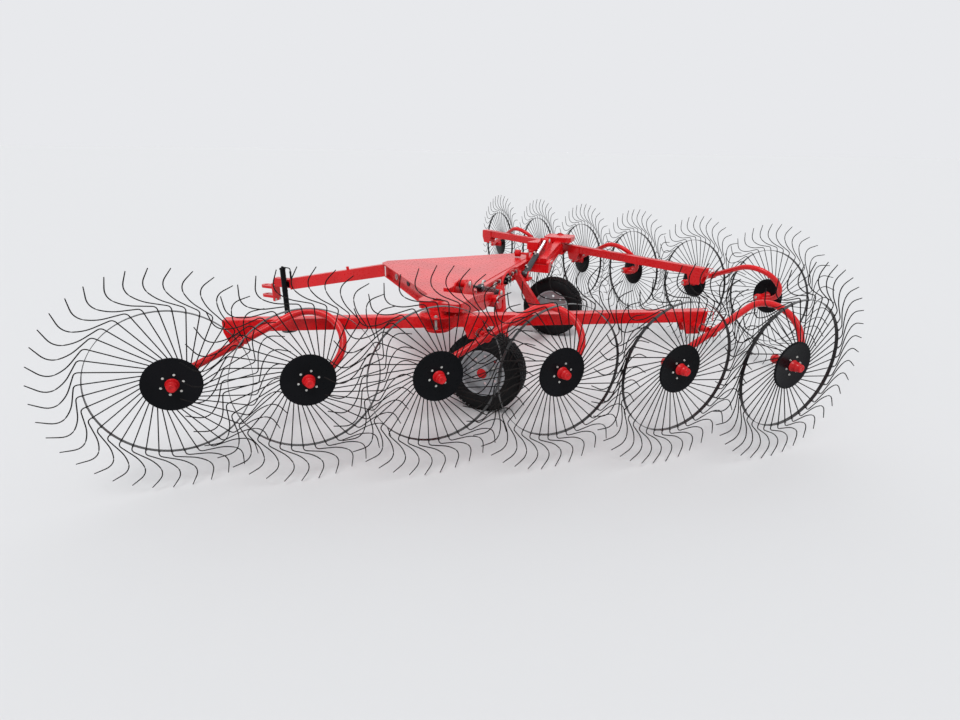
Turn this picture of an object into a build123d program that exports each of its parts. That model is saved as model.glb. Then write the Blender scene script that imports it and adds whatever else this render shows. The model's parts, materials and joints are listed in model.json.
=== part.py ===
from math import acos, asin, atan2, cos, degrees, hypot, radians, sin, sqrt, tan
import os
from build123d import *

# Towed V-shaped wheel rake: twelve tined wheels in tandem pairs on two rake arms, carried by a
# two-wheeled cart with a drawbar, a parking jack and a hydraulic lift for each arm.
# Millimetres. +X is forward, +Y is the machine's left, +Z is up, z = 0 is the floor.
# "Ahead" is measured forward from the cart's axle and "out" sideways from the machine's middle.

# Rows of rake wheels
pairs = 3                   # tandem pairs in one row
hub_pitch = 788.0           # between neighbouring hubs along the row
row_angle = 28.1            # row against the direction of travel
wheel_angle = 46.3          # plane of a rake wheel against the direction of travel
row_ahead = 1300.0          # front hub of a row
row_out = 2870.0

# Rake wheel
tine_count = 40
tip_radius = 700.0
wire = 7.0                  # thickness of a tine
elbow_radius = 478.0        # first bend of a tine
spoke_offset = 82.0         # how far a tine's inner run passes from the wheel's centre
finger_lean = 21.8          # turn about the centre from the first bend to the second
finger_radius = 551.0       # second bend of a tine
tip_lean = 17.5             # turn about the centre from the first bend to the tip
tine_hold = 12.0            # length of a tine inside the disc
disc_radius = 167.0
disc_thick = 10.0
hoop_radius = 445.0
hoop_width = 36.0
hoop_thick = 3.0
hoop_sides = 20
hub_sides = 10
hub_radius = 34.0
hub_in = 46.0               # hub behind the disc's plane
hub_out = 45.0              # hub in front of it
cap_radius = 27.0
cap_out = 73.0              # cap's end in front of the disc's plane
spindle_radius = 16.0
spindle_inside = 45.0       # how far the spindle reaches in front of the disc's plane

# Tandem tubes, which lean in towards the rake arm
tube_radius = 24.0
tube_back = 120.0           # tube's middle behind the plane of its wheels
tube_lean = 40.0
crook_radius = 225.0        # the round end that hooks back to the rear hub
crook_drop = 25.0           # how far that end dips below the hubs
crook_steps = 8
tube_sides = 8
boss_radius = 30.0          # boss on the spindle where it meets the tube
boss_tail = 30.0            # boss behind the tube's middle
pivot_shift = -28.0         # pivot behind the middle between its two hubs
sleeve_radius = 32.0
sleeve_sides = 10
sleeve_end = 28.0           # sleeve's bore ends this far short of the tube's middle
pin_radius = 20.0
pin_end = 36.0              # and its pin this far short

# Rake arms
arm_inset = 466.0           # arm's middle inside its row of hubs
arm_rise = 221.8            # arm's middle above the hubs
arm_size = 80.0             # square tube
arm_front = 190.0           # arm's front end behind the front hub, along the row
arm_rear = 3513.0
hanger_top = 36.0           # hanger's top above the arm's middle
hanger_drop = 66.0          # hanger's foot below the rocker's pin
hanger_length = 170.0
hanger_foot = 105.0
hanger_plate = 10.0
swing_ahead = 115.0         # upright pivot of a rake arm
swing_disc = 125.0
swing_disc_thick = 10.0
swing_boss = 60.0
swing_boss_rise = 42.0      # boss's top above the arm
swing_foot = 100.0
swing_foot_thick = 8.0
swing_sides = 20
swing_pin = 25.0

# Cart
axle_track = 1076.0         # middle of a tyre out from the middle of the cart
tyre_radius = 333.0
tyre_width = 205.0
wheel_sides = 36
rim_radius = 190.0
rim_width = 150.0
rim_wall = 12.0
rim_web = 15.0
rim_hole = 15.0
rim_hole_circle = 118.0
rim_hole_count = 8
rim_hub_radius = 58.0
rim_hub_in = 45.0
rim_hub_out = 62.0
rim_cap_radius = 40.0
rim_cap_out = 80.0
stub_radius = 20.0
deck_height = 905.0
deck_thick = 5.0
apex_ahead = 1560.0         # front point of the deck
apex_out = 60.0
corner_ahead = 370.0        # its rear corners
corner_out = 1190.0
deck_rear_ahead = 275.0
channel_depth = 125.0
channel_flange = 50.0
channel_wall = 7.0
cross_size = 120.0
cross_ahead = 280.0
cross_short = 62.0          # beam's end inside the hinge
mast_ahead = 155.0          # plane of the lift cylinders
mast_base = 20.0            # thickness of the plates under the cross beam
mast_rear_ahead = 95.0
mast_in = 60.0              # mast's sides from the cylinder's pin
mast_out = 70.0
post_width = 20.0
post_rear_width = 30.0
post_rise = 38.0            # posts' top above the hinge
post_wall = 84.0            # height of the wall between the posts
leg_top_out = 255.0
leg_top_rise = 70.0         # leg's top above the cross beam's underside
leg_top_width = 60.0
leg_top_length = 70.0
leg_foot_out = 610.0
leg_foot_ahead = 30.0
leg_foot_width = 90.0
leg_foot_length = 120.0
leg_foot_rise = 40.0        # leg's foot above the axle
axle_tube_radius = 55.0
axle_sides = 12

# Wings between the cart and the rake arms
hinge_out = 846.0
hinge_drop = 30.0           # hinge below the deck
hinge_radius = 32.0
hinge_pin = 18.0
hinge_pin_proud = 15.0
hinge_rear = 25.0           # ends of the hinge tube, ahead of the axle
hinge_front = 245.0
wing_beam = 88.0            # depth of the wing's two beams
wing_rear_width = 72.0
wing_front_width = 50.0
wing_crown = 46.0           # beams' top above the hinge
wing_end = 1515.0
wing_lap = 28.0             # beams' top above the underside of the outer box
plate_drop = 50.0           # plate between the beams, below their tops
plate_thick = 10.0
plate_margin = 20.0
cover_lap = 60.0            # outer box's reach over the beams
cover_past = 41.0           # and past the arm's pivot
cover_wide = 325.0
cover_round = 55.0
cover_deep = 55.0
lug_radius = 90.0
lug_thick = 16.0
lug_web = 30.0
front_box_in = 1000.0
front_box_out = 1340.0
front_box_reach = 73.0      # box's inner end in front of the hinge tube
front_box_rise = 53.0
lock_rise = 77.0            # transport lock beside each hinge
lock_radius = 12.0
lock_ahead = 400.0
lock_plate = 44.0
knob_radius = 38.0
knob_length = 55.0

# Lift cylinders
anchor_out = 430.0
anchor_drop = 85.0          # anchor's pin below the deck
eye_out = 1164.0
eye_rise = 85.7             # rod's eye above the beams
barrel_radius = 31.0
barrel_length = 420.0
barrel_end = 55.0           # bore starts this far from the anchor's pin
rod_radius = 16.0
rod_inside = 80.0
round_sides = 16
eye_pin = 14.0
eye_radius = 30.0
eye_width = 60.0
ear_thick = 12.0
ear_in = 140.0              # foot of a wing's ear inside the eye
ear_out = 180.0             # and outside it

# Drawbar, hitch and jack
hitch_ahead = 3190.0        # hitch pin
hitch_height = 430.0
hitch_nose = 52.0
hitch_hole = 16.0
hitch_ear = 30.0
hitch_plate = 25.0
hitch_plate_width = 110.0
hitch_plate_past = 35.0     # plate above and below the ears
ear_gap = 80.0
bar_wide = 100.0
bar_deep = 127.0
bar_front_ahead = 2800.0
bar_front_rise = 183.0      # top of the drawbar's front end above the hitch
bar_rear_ahead = 1590.0
bar_rear_drop = 29.0        # and of its rear end below the deck
neck_wide = 80.0
neck_deep = 100.0
neck_drop = 13.5
neck_long = 240.0
jack_past = 45.0            # jack in front of the drawbar's wide part
jack_out = 88.0
jack_radius = 30.0
jack_wall = 5.0
jack_low = 200.0
jack_rise = 112.0           # its top above the drawbar
jack_cap = 12.0
jack_bracket = 60.0
jack_foot = 85.0
jack_plate = 8.0
jack_overlap = 220.0        # leg inside the tube

fit = 0.05                  # radial clearance of a pin in its bore
gap = 0.3                   # between pieces that rest on each other
side_gap = 6.0              # beside a piece that turns or slides

os.makedirs("parts", exist_ok=True)


def keep(piece, name):
    piece.label = name
    export_step(piece, "parts/" + name + ".step")


def keep_both(piece, name, ending=""):
    keep(piece, name + "_left" + ending)
    with BuildPart() as twin:
        mirror(piece, about=Plane.XZ)
    keep(twin.part, name + "_right" + ending)


def polar(radius, angle):
    return (radius * cos(radians(angle)), radius * sin(radians(angle)))


def facing_front(ahead, out, height):
    return Plane(origin=(axle_x + ahead, out, height), x_dir=(0, 1, 0), z_dir=(1, 0, 0))


def bar(plane, radius, length, sides=0):
    with BuildPart() as piece:
        with BuildSketch(plane):
            if sides:
                RegularPolygon(radius, sides)
            else:
                Circle(radius)
        extrude(amount=length)
    return piece.part


def block(plane, width, depth, length):
    with BuildPart() as piece:
        with BuildSketch(plane):
            Rectangle(width, depth)
        extrude(amount=length)
    return piece.part


def plate(plane, points, thick):
    with BuildPart() as piece:
        with BuildSketch(plane):
            with BuildLine():
                Polyline(*points, close=True)
            make_face()
        extrude(amount=thick)
    return piece.part


def turned(plane, stations, sides):
    with BuildPart() as piece:
        for offset, radius in stations:
            with BuildSketch(plane.offset(offset)):
                RegularPolygon(radius, sides)
        loft(ruled=True)
    return piece.part


# Where the cart stands: its axle is placed so that the machine's box is centred on the origin
row_length = (2 * pairs - 1) * hub_pitch
row_back = row_ahead - row_length * cos(radians(row_angle)) - tip_radius * cos(radians(wheel_angle))
axle_x = -(hitch_ahead + hitch_nose + row_back) / 2

# Rake wheel, drawn about its own axle with the cap towards +Z and up along +Y
tine_round = wire / sqrt(3)
spoke_start = disc_radius - tine_hold
with BuildPart() as tine:
    inner_lean = degrees(asin(spoke_offset / elbow_radius) - asin(spoke_offset / spoke_start))
    route = [polar(spoke_start, inner_lean), polar(elbow_radius, 0), polar(finger_radius, finger_lean),
             polar(tip_radius - wire / 4, tip_lean)]
    with BuildLine():
        Polyline(*route)
    start = Vector(*route[0])
    with BuildSketch(Plane(origin=start, z_dir=Vector(*route[1]) - start, x_dir=(0, 0, 1))):
        RegularPolygon(tine_round, 3)
    sweep(transition=Transition.RIGHT)

exit_lean = degrees(asin(spoke_offset / elbow_radius) - asin(spoke_offset / disc_radius))
half_side = 180 / tine_count
with BuildPart() as rake_wheel:
    add(bar(Plane.XY.offset(-hub_in), hub_radius, hub_in + hub_out, hub_sides))
    add(bar(Plane.XY.offset(hub_out), cap_radius, cap_out - hub_out, hub_sides))
    with BuildSketch(Plane.XY.offset(-disc_thick / 2)):
        RegularPolygon(disc_radius, tine_count, rotation=exit_lean - tip_lean + half_side)
    extrude(amount=disc_thick)
    add(bar(Plane.XY.offset(-hub_in), spindle_radius + fit, hub_in + spindle_inside + side_gap), mode=Mode.SUBTRACT)
    with BuildSketch(Plane.XY.offset(-tine_round / 2 - gap)):
        RegularPolygon(hoop_radius + hoop_thick, hoop_sides)
        RegularPolygon(hoop_radius, hoop_sides, mode=Mode.SUBTRACT)
    extrude(amount=-hoop_width)
    with PolarLocations(0, tine_count, start_angle=-tip_lean):
        add(tine.part)

hub_height = -rake_wheel.part.bounding_box().min.Y
row = Plane(origin=(axle_x + row_ahead, row_out, hub_height), z_dir=(0, 0, 1),
            x_dir=(-cos(radians(row_angle)), -sin(radians(row_angle)), 0))
inward = Vector(row.y_dir)
wheel_out = Vector(-sin(radians(wheel_angle)), cos(radians(wheel_angle)), 0)
wheel_side = Vector(0, 0, 1).cross(wheel_out)
in_share = abs(wheel_out.dot(inward))


def hub_plane(number, behind=0.0):
    centre = row.from_local_coords(Vector(number * hub_pitch, 0, 0)) - wheel_out * behind
    return Plane(origin=centre, x_dir=wheel_side, z_dir=wheel_out)


for number in range(2 * pairs):
    with BuildPart() as placed:
        with Locations(hub_plane(number).location):
            add(rake_wheel.part)
    keep_both(placed.part, "rake_wheel", "_%d" % (number + 1))

# Tandem tube: from the front spindle up past the pivot, round the crook and back to the rear spindle
rise = crook_radius - crook_drop
run = hypot(hub_pitch, rise)
climb = degrees(asin(crook_radius / run) + atan2(rise, hub_pitch))
bends = [(0.0, 0.0), (hub_pitch - crook_radius * sin(radians(climb)), rise + crook_radius * cos(radians(climb)))]
for step in range(1, crook_steps + 1):
    turn_u, turn_v = polar(crook_radius, 90 + climb - (180 + climb) * step / crook_steps)
    bends.append((hub_pitch + turn_u, rise + turn_v))
pivot_u = hub_pitch / 2 + pivot_shift
pivot_v = pivot_u * tan(radians(climb))
tube_up = Vector(0, 0, 1) * cos(radians(tube_lean)) + inward * sin(radians(tube_lean))
hanger_back = arm_inset - arm_size / 2 - hanger_plate - gap
sleeve_gap = side_gap + sleeve_radius * tan(acos(in_share))
boss_long = tube_back + boss_tail - hub_in - side_gap

feet = []
for pair in range(pairs):
    plane = Plane(origin=hub_plane(2 * pair, tube_back).origin, x_dir=row.x_dir, z_dir=Vector(row.x_dir).cross(tube_up))
    pivot = plane.from_local_coords(Vector(pivot_u, pivot_v, 0))
    to_arm = (hanger_back - row.to_local_coords(pivot).Y) / in_share
    foot = pivot - wheel_out * to_arm
    feet.append((foot, to_arm))
    sleeve = Plane(origin=foot + wheel_out * sleeve_gap, x_dir=wheel_side, z_dir=wheel_out)
    with BuildPart() as rocker:
        with BuildLine() as tube_line:
            Polyline(*[plane.from_local_coords(Vector(u, v, 0)) for u, v in bends])
        with BuildSketch(Plane(origin=plane.origin, z_dir=tube_line.line % 0)):
            RegularPolygon(tube_radius, tube_sides)
        sweep(transition=Transition.RIGHT)
        for number in (2 * pair, 2 * pair + 1):
            back = hub_plane(number, tube_back + boss_tail)
            add(bar(back, spindle_radius, tube_back + boss_tail + spindle_inside))
            add(bar(back, boss_radius, boss_long, sleeve_sides))
        add(bar(sleeve, sleeve_radius, to_arm - sleeve_gap, sleeve_sides))
        add(bar(sleeve, pin_radius + fit, to_arm - sleeve_gap - sleeve_end), mode=Mode.SUBTRACT)
    keep_both(rocker.part, "rocker", "_%d" % (pair + 1))

# Rake arm with its hangers and the pins that the tandem tubes rock on
arm_height = hub_height + arm_rise
arm_low = arm_height - arm_size / 2
arm_top = arm_height + arm_size / 2
arm_middle = row.from_local_coords(Vector(0, arm_inset, arm_rise))
arm_plane = Plane(origin=arm_middle, x_dir=row.x_dir, z_dir=(0, 0, 1))
swing_along = (arm_middle.X - axle_x - swing_ahead) / cos(radians(row_angle))
swing = arm_plane.from_local_coords(Vector(swing_along, 0, 0))

with BuildPart() as arm:
    with BuildSketch(arm_plane.offset(-arm_size / 2)):
        with Locations(((arm_front + arm_rear) / 2, 0)):
            Rectangle(arm_rear - arm_front, arm_size)
    extrude(amount=arm_size)
    add(bar(Plane(origin=(swing.X, swing.Y, arm_top)), swing_disc, swing_disc_thick, swing_sides))
    add(bar(Plane(origin=(swing.X, swing.Y, arm_top)), swing_boss, swing_boss_rise, swing_sides))
    add(bar(Plane(origin=(swing.X, swing.Y, arm_low - swing_foot_thick)), swing_foot, swing_foot_thick, swing_sides))
    add(bar(Plane(origin=(swing.X, swing.Y, arm_low - arm_size)), swing_pin + fit, 3 * arm_size), mode=Mode.SUBTRACT)
keep_both(arm.part, "rake_arm")

with BuildPart() as hangers:
    for foot, to_arm in feet:
        spot = arm_plane.to_local_coords(foot)
        low = foot.Z - hanger_drop
        shape = [(-hanger_length / 2, arm_height + hanger_top), (hanger_length / 2, arm_height + hanger_top),
                 (hanger_length / 2, arm_low), (hanger_foot / 2, low), (-hanger_foot / 2, low),
                 (-hanger_length / 2, arm_low)]
        for side in (-1, 1):
            at = arm_plane.from_local_coords(Vector(spot.X, side * (arm_size / 2 + gap), 0))
            facing = Plane(origin=(at.X, at.Y, 0), x_dir=row.x_dir, z_dir=inward * -1)
            add(plate(facing, shape, -side * hanger_plate))
        reach = (arm_size + hanger_plate + 2 * gap) / in_share
        pin = Plane(origin=foot - wheel_out * reach, x_dir=wheel_side, z_dir=wheel_out)
        add(bar(pin, pin_radius, reach + to_arm - pin_end))
        add(bar(pin, sleeve_radius, reach - hanger_plate, sleeve_sides))
    with BuildSketch(arm_plane.offset(-arm_size / 2 - gap)):
        with Locations(((arm_front + arm_rear) / 2, 0)):
            Rectangle(2 * arm_rear, arm_size + 2 * gap)
    extrude(amount=arm_size + 2 * gap, mode=Mode.SUBTRACT)
keep_both(hangers.part, "hangers")

# Wing: hinge tube, two beams that rise outwards with a plate between them, the ears of the lift
# cylinder, a box in front, and an outer box and a lower lug that hold the rake arm's pivot
hinge_height = deck_height - hinge_drop
wing_low = arm_top + swing_boss_rise + gap
lug_top = arm_low - swing_foot_thick - gap
inner_top = hinge_height + wing_crown
outer_top = wing_low + wing_lap
slope_out = (outer_top - inner_top) / (wing_end - hinge_out)
hinge_long = hinge_front - hinge_rear
ear_starts = (mast_ahead - eye_width / 2 - side_gap - ear_thick, mast_ahead + eye_width / 2 + side_gap)


def beam_top(out):
    return inner_top + slope_out * (out - hinge_out)


eye_height = beam_top(eye_out) + eye_rise
with BuildPart() as wing:
    add(bar(facing_front(hinge_rear, hinge_out, hinge_height), hinge_radius, hinge_long))
    beam = [(hinge_out - hinge_radius, hinge_height), (hinge_out - hinge_radius, inner_top), (wing_end, outer_top),
            (wing_end, outer_top - wing_beam), (hinge_out - hinge_radius / 2, inner_top - wing_beam)]
    add(plate(Plane.YZ.offset(axle_x + hinge_rear + 2 * side_gap), beam, wing_rear_width))
    add(plate(Plane.YZ.offset(axle_x + hinge_front - wing_front_width), beam, wing_front_width))
    between = Plane(origin=(axle_x, hinge_out, inner_top - plate_drop), x_dir=(1, 0, 0), z_dir=(0, -slope_out, 1))
    with BuildSketch(between):
        with Locations(((hinge_rear + hinge_front) / 2, (wing_end - hinge_out + plate_margin) / 2)):
            Rectangle(hinge_long - 2 * plate_margin, wing_end - hinge_out - plate_margin)
    extrude(amount=plate_thick)
    with BuildSketch(Plane.XY.offset(wing_low)):
        with Locations((swing.X - plate_margin, (wing_end - cover_lap + swing.Y + cover_past) / 2)):
            RectangleRounded(cover_wide, swing.Y + cover_past - wing_end + cover_lap, cover_round)
    extrude(amount=cover_deep)
    with BuildSketch(Plane(origin=(swing.X, swing.Y, lug_top))):
        RegularPolygon(lug_radius, swing_sides)
        with Locations((0, 0)):
            Rectangle(2 * lug_radius, swing.Y - wing_end + 1.5 * lug_web, align=(Align.CENTER, Align.MAX))
    extrude(amount=-lug_thick)
    add(block(Plane(origin=(swing.X, wing_end - lug_web, lug_top - lug_thick)), 2 * lug_radius, lug_web,
              wing_low - lug_top + 2 * lug_thick))
    add(bar(Plane(origin=(swing.X, swing.Y, lug_top - lug_thick / 2)), swing_pin, wing_low - lug_top + lug_thick))
    for start in ear_starts:
        with BuildSketch(Plane.YZ.offset(axle_x + start)):
            with BuildLine():
                Polyline((eye_out - ear_in, beam_top(eye_out - ear_in) - plate_drop + plate_thick / 2),
                         (eye_out + ear_out, beam_top(eye_out + ear_out) - plate_drop + plate_thick / 2),
                         (eye_out + 2 * eye_radius, eye_height + eye_radius / 2),
                         (eye_out - eye_radius, eye_height + eye_radius),
                         (eye_out - 2 * eye_radius, eye_height - eye_radius / 2), close=True)
            make_face()
            with Locations((eye_out, eye_height)):
                RegularPolygon(eye_pin * 1.25, tube_sides, mode=Mode.SUBTRACT)
        extrude(amount=ear_thick)
    box_rear = axle_x + hinge_front - wing_front_width
    front_box = [(box_rear, front_box_in), (axle_x + hinge_front + front_box_reach, front_box_in),
                 (axle_x + hinge_front + gap, front_box_out), (box_rear, front_box_out)]
    box_low = beam_top((front_box_in + front_box_out) / 2)
    add(plate(Plane.XY.offset(box_low), front_box, beam_top(front_box_out) + front_box_rise - box_low))
    add(bar(facing_front(hinge_rear - hinge_pin, hinge_out, hinge_height), hinge_pin + fit, hinge_long + 2 * hinge_pin),
        mode=Mode.SUBTRACT)
keep_both(wing.part, "wing")

# Lift cylinders
anchor_height = deck_height - anchor_drop
stretch = hypot(eye_out - anchor_out, eye_height - anchor_height)
push = Vector(0, (eye_out - anchor_out) / stretch, (eye_height - anchor_height) / stretch)
anchor = Vector(axle_x + mast_ahead, anchor_out, anchor_height)
eye = anchor + push * stretch
across = Vector(eye_width / 2, 0, 0)


def along_rod(distance):
    return Plane(origin=anchor + push * distance, z_dir=push, x_dir=(1, 0, 0))


with BuildPart() as barrel:
    add(bar(Plane(origin=anchor - across, x_dir=push, z_dir=(1, 0, 0)), eye_radius, eye_width, round_sides))
    add(bar(along_rod(0), barrel_radius, barrel_length, round_sides))
    add(bar(Plane(origin=anchor - across * 2, x_dir=push, z_dir=(1, 0, 0)), eye_pin + fit, 2 * eye_width),
        mode=Mode.SUBTRACT)
    add(bar(along_rod(barrel_end), rod_radius + fit, barrel_length), mode=Mode.SUBTRACT)
keep_both(barrel.part, "cylinder_barrel")

rod_start = barrel_length - rod_inside
pin_long = eye_width + 1.5 * side_gap
with BuildPart() as rod:
    add(bar(Plane(origin=eye - across, x_dir=push, z_dir=(1, 0, 0)), eye_radius, eye_width, round_sides))
    add(bar(along_rod(rod_start), rod_radius, stretch - rod_start - eye_radius / 2))
    add(bar(Plane(origin=eye - Vector(pin_long / 2, 0, 0), x_dir=push, z_dir=(1, 0, 0)), eye_pin, pin_long))
keep_both(rod.part, "cylinder_rod")

# Cart: deck plate, open side channels, cross beam with its hinge posts, mast and wheel legs
apex = axle_x + apex_ahead
corner = axle_x + corner_ahead
rear = axle_x + deck_rear_ahead
deck_shape = [(apex, apex_out), (corner, corner_out), (rear, corner_out), (rear, -corner_out), (corner, -corner_out),
              (apex, -apex_out)]
keep(plate(Plane.XY.offset(deck_height - deck_thick), deck_shape, deck_thick), "deck")

side_angle = atan2(corner_out - apex_out, apex - corner)
side_dir = Vector(-cos(side_angle), sin(side_angle), 0)
frame_top = deck_height - deck_thick - gap
past_bar = (bar_wide / 2 + gap + channel_flange * cos(side_angle) - apex_out) / sin(side_angle)
channel_start = Vector(apex, apex_out, frame_top) + side_dir * past_bar
with BuildPart() as channel:
    with BuildSketch(Plane(origin=channel_start, x_dir=Vector(0, 0, 1).cross(side_dir), z_dir=side_dir)):
        Rectangle(channel_flange, channel_depth, align=(Align.MIN, Align.MAX))
        with Locations((0, -channel_wall)):
            Rectangle(channel_flange - channel_wall, channel_depth - 2 * channel_wall, align=(Align.MIN, Align.MAX),
                      mode=Mode.SUBTRACT)
    extrude(amount=hypot(corner_out - apex_out, apex - corner) - past_bar)
keep_both(channel.part, "side_channel")

cross_low = frame_top - cross_size
cross_out = hinge_out - cross_short
post_rear = hinge_rear - side_gap - post_rear_width
post_front = hinge_front + side_gap
post_in = cross_out - 2 * post_width
cheek = hinge_out + hinge_radius + side_gap
post = [(post_in, cross_low), (cross_out + post_width, cross_low), (cheek, hinge_height - post_width),
        (cheek, hinge_height + post_width), (hinge_out + lock_radius, hinge_height + post_rise),
        (post_in, frame_top - lock_radius)]
lock_height = hinge_height + lock_rise
with BuildPart() as hinge_post:
    with BuildSketch(Plane.XY.offset(cross_low)):
        with Locations((axle_x + (post_rear + cross_ahead) / 2, cross_out - 1.5 * post_width)):
            Rectangle(cross_ahead - post_rear, post_width)
    extrude(amount=post_wall)
    add(plate(Plane.YZ.offset(axle_x + post_rear), post, post_rear_width))
    add(plate(Plane.YZ.offset(axle_x + post_front), post, post_width))
    add(block(facing_front(post_front, hinge_out, hinge_height + lock_rise / 2), lock_plate, lock_rise + lock_plate / 2,
              post_width))
    add(bar(facing_front(post_rear - hinge_pin_proud, hinge_out, hinge_height), hinge_pin,
            post_front + post_width + 2 * hinge_pin_proud - post_rear))
    add(bar(facing_front(post_front, hinge_out, lock_height), lock_radius, lock_ahead - post_front, tube_sides))
    add(bar(facing_front(lock_ahead - knob_length, hinge_out, lock_height), knob_radius, knob_length, axle_sides))
with BuildPart() as cross:
    add(block(Plane(origin=(axle_x + cross_ahead, 0, cross_low)), cross_size, 2 * cross_out, cross_size))
    add(hinge_post.part)
    mirror(hinge_post.part, about=Plane.XZ)
keep(cross.part, "cross_beam")

base_low = cross_low - gap - mast_base
base_front = cross_ahead + cross_size / 2
mast_shape = [(anchor_out - mast_in, base_low), (anchor_out + 1.5 * eye_radius, base_low),
              (anchor_out + 1.5 * eye_radius, anchor_height), (anchor_out + eye_radius / 2, anchor_height + eye_radius),
              (anchor_out - eye_radius / 2, anchor_height + eye_radius), (anchor_out - mast_in, cross_low + mast_base)]
with BuildPart() as mast_half:
    for start in ear_starts:
        add(plate(Plane.YZ.offset(axle_x + start), mast_shape, ear_thick))
    add(bar(facing_front(ear_starts[0], anchor_out, anchor_height), eye_pin, ear_starts[1] + ear_thick - ear_starts[0]))
    add(block(Plane(origin=(axle_x + (mast_rear_ahead + base_front) / 2, anchor_out + (mast_out - mast_in) / 2, base_low)),
              base_front - mast_rear_ahead, mast_in + mast_out, mast_base))
with BuildPart() as mast:
    add(mast_half.part)
    mirror(mast_half.part, about=Plane.XZ)
keep(mast.part, "mast")

leg_top_ahead = cross_ahead - cross_size / 2 - gap - leg_top_length / 2
leg_table = (  # out, ahead, height, length along X, width along Y
    (leg_top_out, leg_top_ahead, cross_low + leg_top_rise, leg_top_length, leg_top_width),
    (leg_foot_out, leg_foot_ahead, tyre_radius + leg_foot_rise, leg_foot_length, leg_foot_width),
)
axle_tube_out = leg_foot_out - leg_foot_width / 2
with BuildPart() as leg:
    for out, ahead, height, length, width in leg_table:
        with BuildSketch(Plane.XY.offset(height)):
            with Locations((axle_x + ahead, out)):
                Rectangle(length, width)
    loft()
    add(bar(Plane(origin=(axle_x, axle_tube_out, tyre_radius), x_dir=(1, 0, 0), z_dir=(0, 1, 0)), axle_tube_radius,
            axle_track - rim_width / 2 - side_gap - axle_tube_out, axle_sides))
    add(bar(Plane(origin=(axle_x, leg_foot_out, tyre_radius), x_dir=(1, 0, 0), z_dir=(0, 1, 0)), stub_radius,
            axle_track + rim_hub_out - stub_radius - leg_foot_out))
keep_both(leg.part, "wheel_leg")

# Transport wheels
wheel_plane = Plane(origin=(axle_x, axle_track, tyre_radius), x_dir=(1, 0, 0), z_dir=(0, 1, 0))
half = tyre_width / 2
bead = rim_radius + gap
tyre_stations = (  # offset from the middle, radius
    (-half, 0.80 * tyre_radius), (-0.86 * half, 0.93 * tyre_radius), (-0.62 * half, 0.985 * tyre_radius),
    (0.0, tyre_radius),
    (0.62 * half, 0.985 * tyre_radius), (0.86 * half, 0.93 * tyre_radius), (half, 0.80 * tyre_radius),
)
with BuildPart() as tyre:
    add(turned(wheel_plane, tyre_stations, wheel_sides))
    for side in (-1, 1):
        add(turned(wheel_plane, ((side * 0.7 * half, bead), (side * half, 0.76 * tyre_radius)), wheel_sides),
            mode=Mode.SUBTRACT)
    add(bar(wheel_plane.offset(-half), bead, tyre_width, wheel_sides), mode=Mode.SUBTRACT)
keep_both(tyre.part, "tyre")

rim_half = rim_width / 2
rim_inside = rim_radius - rim_wall
with BuildPart() as rim:
    add(bar(wheel_plane.offset(-rim_half), rim_radius, rim_width, wheel_sides))
    for side in (-1, 1):
        add(turned(wheel_plane, ((side * rim_web / 2, rim_inside - rim_wall), (side * rim_half, rim_inside)),
                   wheel_sides), mode=Mode.SUBTRACT)
    add(bar(wheel_plane.offset(-rim_hub_in), rim_hub_radius, rim_hub_in + rim_hub_out, axle_sides))
    add(bar(wheel_plane.offset(rim_hub_out), rim_cap_radius, rim_cap_out - rim_hub_out, axle_sides))
    add(bar(wheel_plane.offset(-rim_hub_in), stub_radius + fit, rim_hub_in + rim_hub_out), mode=Mode.SUBTRACT)
    with BuildSketch(wheel_plane.offset(-rim_web)):
        with PolarLocations(rim_hole_circle, rim_hole_count):
            RegularPolygon(rim_hole, tube_sides)
    extrude(amount=2 * rim_web, mode=Mode.SUBTRACT)
keep_both(rim.part, "rim")

# Drawbar, hitch and jack
bar_front = axle_x + bar_front_ahead
bar_front_top = hitch_height + bar_front_rise
bar_rear_top = deck_height - bar_rear_drop
fall = (bar_rear_top - bar_front_top) / (bar_front_ahead - bar_rear_ahead)
bend = axle_x + bar_rear_ahead - (frame_top - bar_rear_top) / fall
bar_back = axle_x + base_front + gap
with BuildPart() as drawbar:
    with BuildSketch(Plane.XZ.offset(-bar_wide / 2)):
        with BuildLine():
            Polyline((bar_back, frame_top), (bend, frame_top), (bar_front, bar_front_top),
                     (bar_front, bar_front_top - bar_deep), (bend, frame_top - bar_deep),
                     (bar_back, frame_top - bar_deep), close=True)
        make_face()
    extrude(amount=bar_wide)
    neck_middle = bar_front_top - neck_drop - neck_deep / 2
    add(block(Plane(origin=(bar_front, 0, neck_middle), x_dir=(0, 1, 0), z_dir=(1, 0, 0)), neck_wide, neck_deep,
              neck_long))
keep(drawbar.part, "drawbar")

hitch_back = bar_front + neck_long + gap
hitch_pin_x = axle_x + hitch_ahead
with BuildPart() as hitch:
    add(block(Plane(origin=(hitch_back, 0, hitch_height), x_dir=(0, 1, 0), z_dir=(1, 0, 0)), hitch_plate_width,
              ear_gap + 2 * hitch_ear + 2 * hitch_plate_past, hitch_plate))
    for level in (hitch_height - ear_gap / 2 - hitch_ear, hitch_height + ear_gap / 2):
        add(bar(Plane(origin=(hitch_pin_x, 0, level)), hitch_nose, hitch_ear))
        with BuildSketch(Plane(origin=(hitch_pin_x, 0, level))):
            Rectangle(hitch_pin_x - hitch_back - hitch_plate / 2, 2 * hitch_nose, align=(Align.MAX, Align.CENTER))
        extrude(amount=hitch_ear)
    add(bar(Plane(origin=(hitch_pin_x, 0, hitch_height - ear_gap)), hitch_hole, 2 * ear_gap), mode=Mode.SUBTRACT)
keep(hitch.part, "hitch_clevis")

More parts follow.
